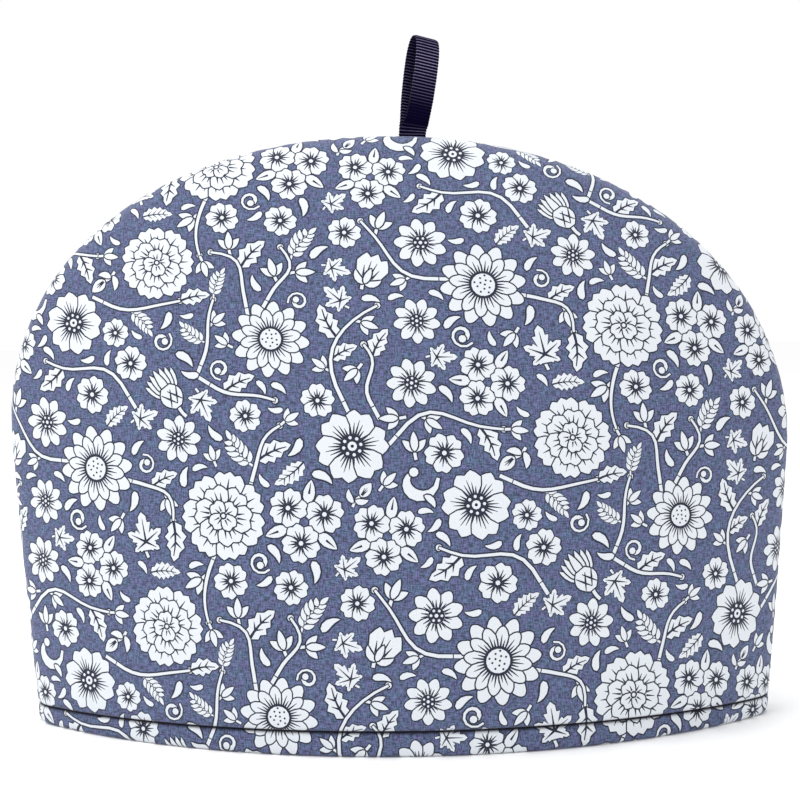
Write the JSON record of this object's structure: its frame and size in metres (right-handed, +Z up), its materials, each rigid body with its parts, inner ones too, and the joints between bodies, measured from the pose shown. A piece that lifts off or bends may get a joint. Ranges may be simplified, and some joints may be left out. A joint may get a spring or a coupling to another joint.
{
  "type": "tea cosy",
  "caption": "Padded dome-shaped cosy, open below and standing on its hem, with a folded ribbon loop sewn into the seam over its crest.",
  "frame": {"origin": "middle of the hem, on the surface that the cosy stands on", "axes": "+Z up towards the ribbon loop, +X to the right along the cosy's width, the front panel faces -Y"},
  "size_m": [0.3397, 0.1397, 0.2989],
  "materials": {
    "printed_cotton": "plain woven cotton, blue ground with a white and dark floral print, padded",
    "navy_grosgrain": "ribbed ribbon, very dark navy"
  },
  "bodies": {
    "root": {"front_panel": "printed_cotton", "back_panel": "printed_cotton", "ribbon_loop": "navy_grosgrain"}
  },
  "joints": []
}
